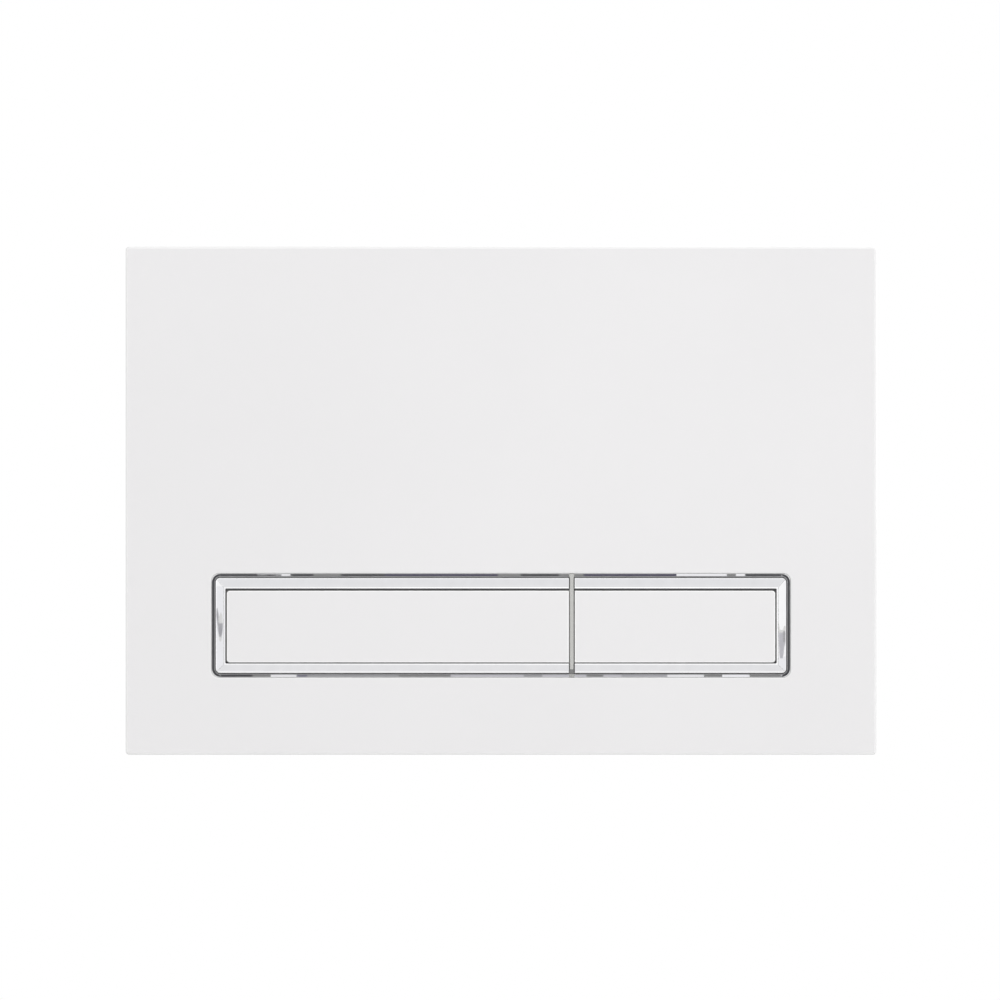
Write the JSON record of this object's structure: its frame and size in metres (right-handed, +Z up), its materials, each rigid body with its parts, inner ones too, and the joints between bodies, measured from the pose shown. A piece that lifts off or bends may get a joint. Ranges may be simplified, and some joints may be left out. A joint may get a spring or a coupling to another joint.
{
  "type": "flush button plate",
  "caption": "White wall plate for a concealed cistern, with a long and a short hinged flush button in chrome frames, and its wall frame, distance bolts and push rods behind.",
  "frame": {"origin": "centre of the plate on the wall plane, at the back of the mounting frame's flange", "axes": "+X along the plate to the right as seen from the front, +Y into the wall, +Z up"},
  "size_m": [0.246, 0.0906, 0.1666],
  "materials": {
    "panel_white": "gloss white moulding",
    "inlay_white": "gloss white moulding",
    "polished_chrome": "polished chrome plate on a casting",
    "carrier_black": "fine textured black moulding",
    "lever_grey": "satin grey moulding",
    "frame_grey": "fine textured grey moulding",
    "bolt_grey": "satin grey moulding",
    "rod_white": "satin off-white acetal",
    "adjuster_grey": "satin slate moulding",
    "pad_rubber": "soft black rubber",
    "spring_steel": "rolled stainless strip",
    "plated_steel": "bright zinc plate"
  },
  "bodies": {
    "plate": {"cover_panel": "panel_white", "button_surround": "polished_chrome", "button_carrier": "carrier_black", "carrier_screws": "plated_steel", "spring_screws": "plated_steel", "stop_pads": "pad_rubber", "mounting_frame": "frame_grey", "catch_clips": "spring_steel", "left_distance_bolt": "bolt_grey", "right_distance_bolt": "bolt_grey", "bolt_washers": "plated_steel", "large_hinge_pin": "plated_steel", "small_hinge_pin": "plated_steel", "large_hinge_rings": "plated_steel", "small_hinge_rings": "plated_steel", "large_left_spring": "spring_steel", "large_right_spring": "spring_steel", "small_spring": "spring_steel"},
    "large_button": {"large_button_frame": "polished_chrome", "large_button_inlay": "inlay_white", "large_button_lever": "lever_grey", "large_lever_screws": "plated_steel"},
    "small_button": {"small_button_frame": "polished_chrome", "small_button_inlay": "inlay_white", "small_button_lever": "lever_grey", "small_lever_screws": "plated_steel"},
    "full_rod": {"full_flush_rod": "rod_white", "full_flush_adjuster": "adjuster_grey"},
    "half_rod": {"half_flush_rod": "rod_white", "half_flush_adjuster": "adjuster_grey"}
  },
  "joints": [
    {"name": "large_button_press", "type": "hinge", "parent": "plate", "child": "large_button", "pos_m": [0, -0.00607, -0.01815], "axis": [1, 0, 0], "range_deg": [0, 8], "stiffness_Nm_per_rad": 0.95, "springref_deg": -6.02, "deforming": ["large_left_spring", "large_right_spring"]},
    {"name": "small_button_press", "type": "hinge", "parent": "plate", "child": "small_button", "pos_m": [0, -0.00607, -0.01815], "axis": [1, 0, 0], "range_deg": [0, 8], "stiffness_Nm_per_rad": 0.95, "springref_deg": -6.02, "deforming": ["small_spring"]},
    {"name": "full_rod_stroke", "type": "slide", "parent": "plate", "child": "full_rod", "axis": [0, 1, 0], "range_m": [0, 0.004]},
    {"name": "half_rod_stroke", "type": "slide", "parent": "plate", "child": "half_rod", "axis": [0, 1, 0], "range_m": [0, 0.004]}
  ],
  "couplings": [
    {"joint": "full_rod_stroke", "follows": "large_button_press", "m_per_rad": 0.0281},
    {"joint": "half_rod_stroke", "follows": "small_button_press", "m_per_rad": 0.0281}
  ]
}
